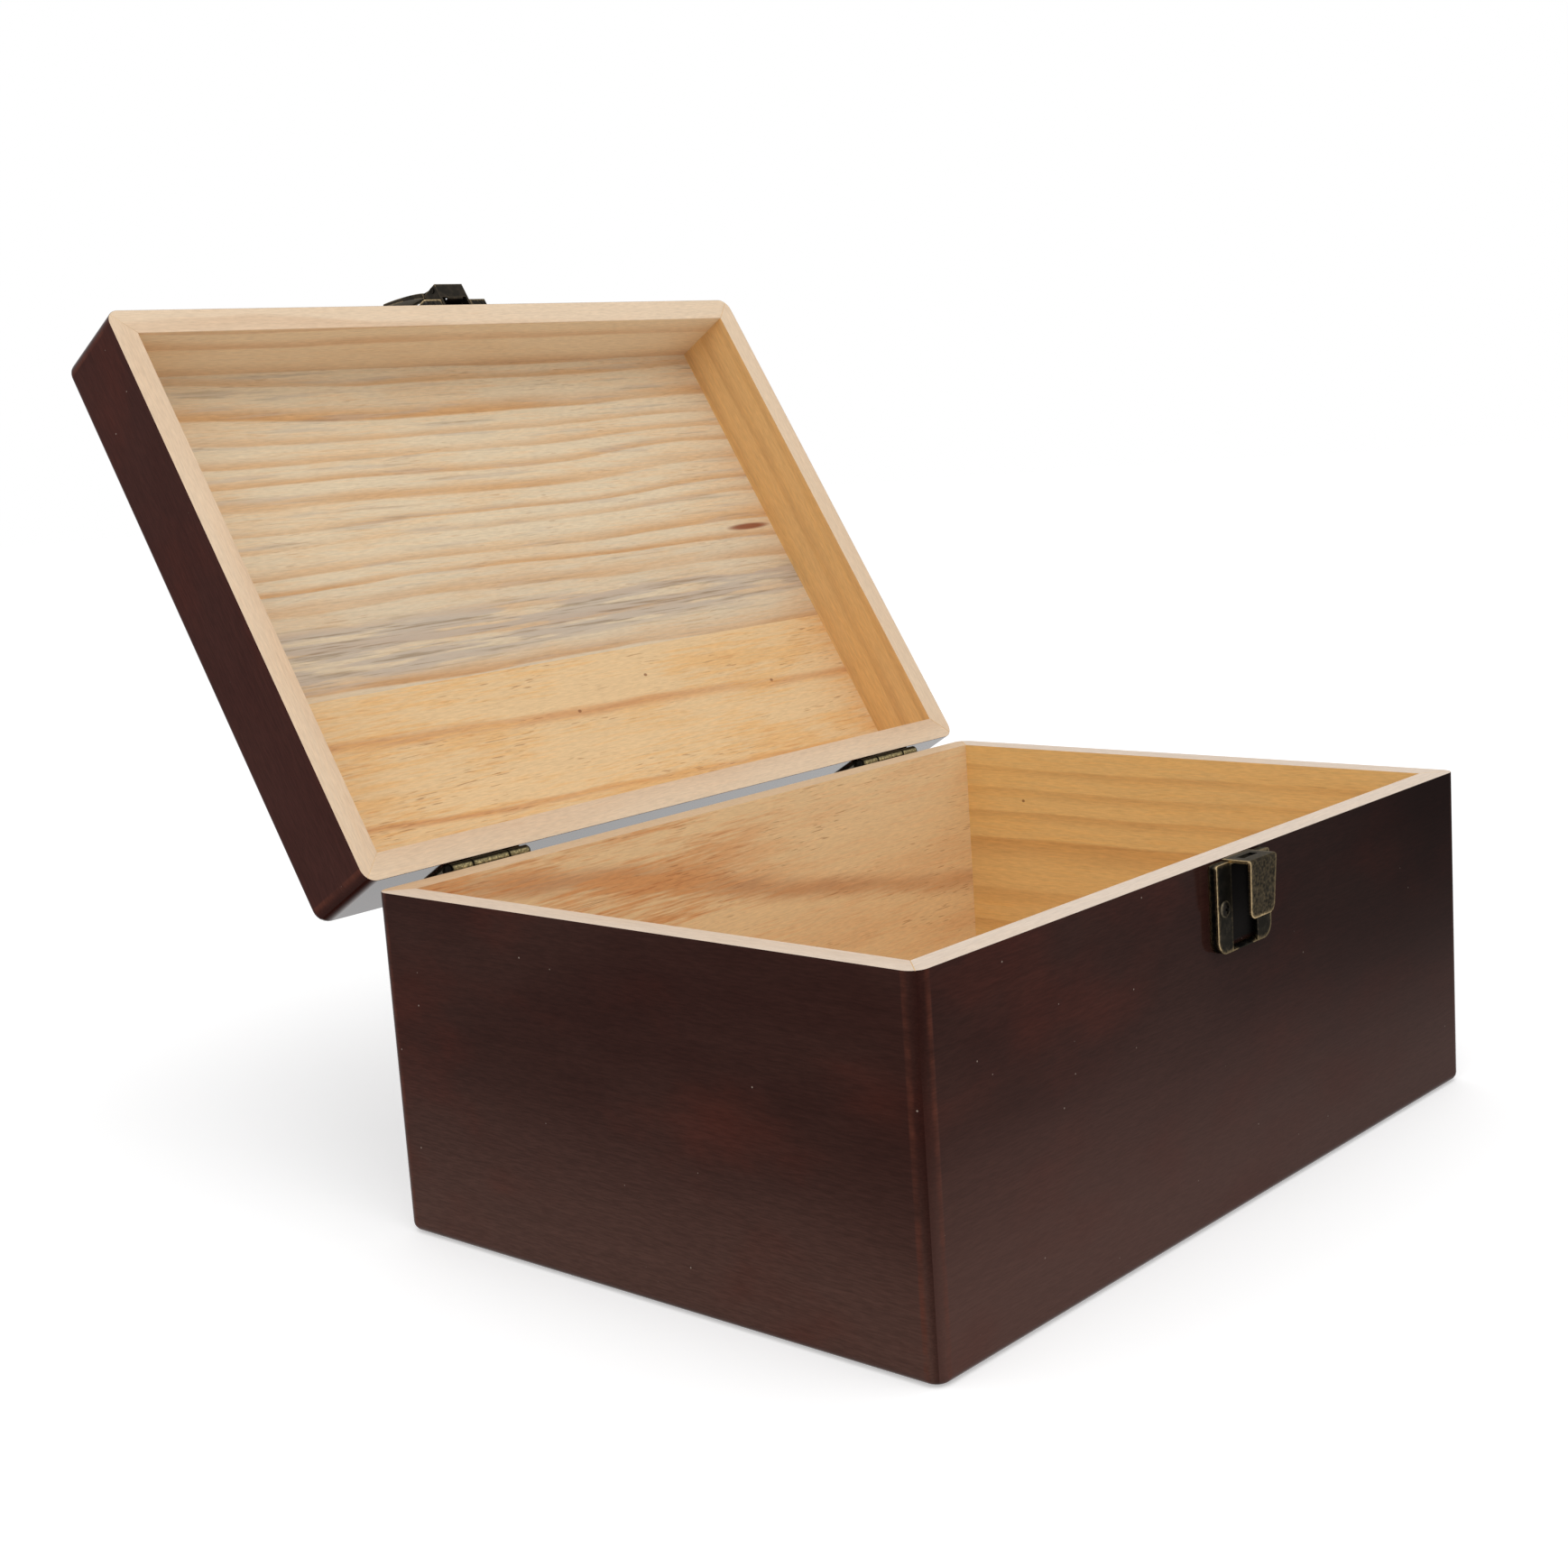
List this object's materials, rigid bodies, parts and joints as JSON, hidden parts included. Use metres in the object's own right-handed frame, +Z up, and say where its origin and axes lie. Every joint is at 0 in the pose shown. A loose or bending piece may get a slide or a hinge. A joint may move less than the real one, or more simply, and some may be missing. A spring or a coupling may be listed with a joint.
{
  "type": "hinged wooden box",
  "caption": "Rectangular wooden storage box with mitred walls, a hinged lid that opens onto stops, and a duckbill lever latch on the front.",
  "frame": {"origin": "middle of the underside of the base, where the box rests on a table", "axes": "+Z up, +X along the hinges to the right as seen from the latch, -Y out of the front with the latch"},
  "size_m": [0.3, 0.374, 0.3025],
  "materials": {
    "stained_wood": "dark brown stain under satin lacquer outside, bare wood inside",
    "bare_wood": "sanded, unfinished",
    "bronzed_metal": "dark antique bronze, rubbed bright at the edges",
    "screw_metal": "worn antique bronze"
  },
  "bodies": {
    "base": {"base_front_wall": "stained_wood", "base_back_wall": "stained_wood", "base_left_wall": "stained_wood", "base_right_wall": "stained_wood", "bottom_panel": "bare_wood", "left_hinge_base_leaf": "bronzed_metal", "left_hinge_pin": "screw_metal", "right_hinge_base_leaf": "bronzed_metal", "right_hinge_pin": "screw_metal", "base_hinge_screws": "screw_metal", "catch_plate": "bronzed_metal", "catch_screws": "screw_metal"},
    "lid": {"lid_front_wall": "stained_wood", "lid_back_wall": "stained_wood", "lid_left_wall": "stained_wood", "lid_right_wall": "stained_wood", "lid_panel": "bare_wood", "left_hinge_lid_leaf": "bronzed_metal", "right_hinge_lid_leaf": "bronzed_metal", "lid_hinge_screws": "screw_metal", "latch_plate": "bronzed_metal", "latch_housing": "bronzed_metal", "latch_screws": "screw_metal", "lever_pin": "screw_metal"},
    "lever": {"duckbill_lever": "bronzed_metal"}
  },
  "joints": [
    {"name": "lid_hinge", "type": "hinge", "parent": "base", "child": "lid", "pos_m": [0, 0.1088, 0.10988], "axis": [1, 0, 0], "range_deg": [0, 120.9]},
    {"name": "lever_pivot", "type": "hinge", "parent": "lid", "child": "lever", "pos_m": [0.0019, 0.22628, 0.30009], "axis": [-1, 0, 0], "range_deg": [0, 32]}
  ]
}
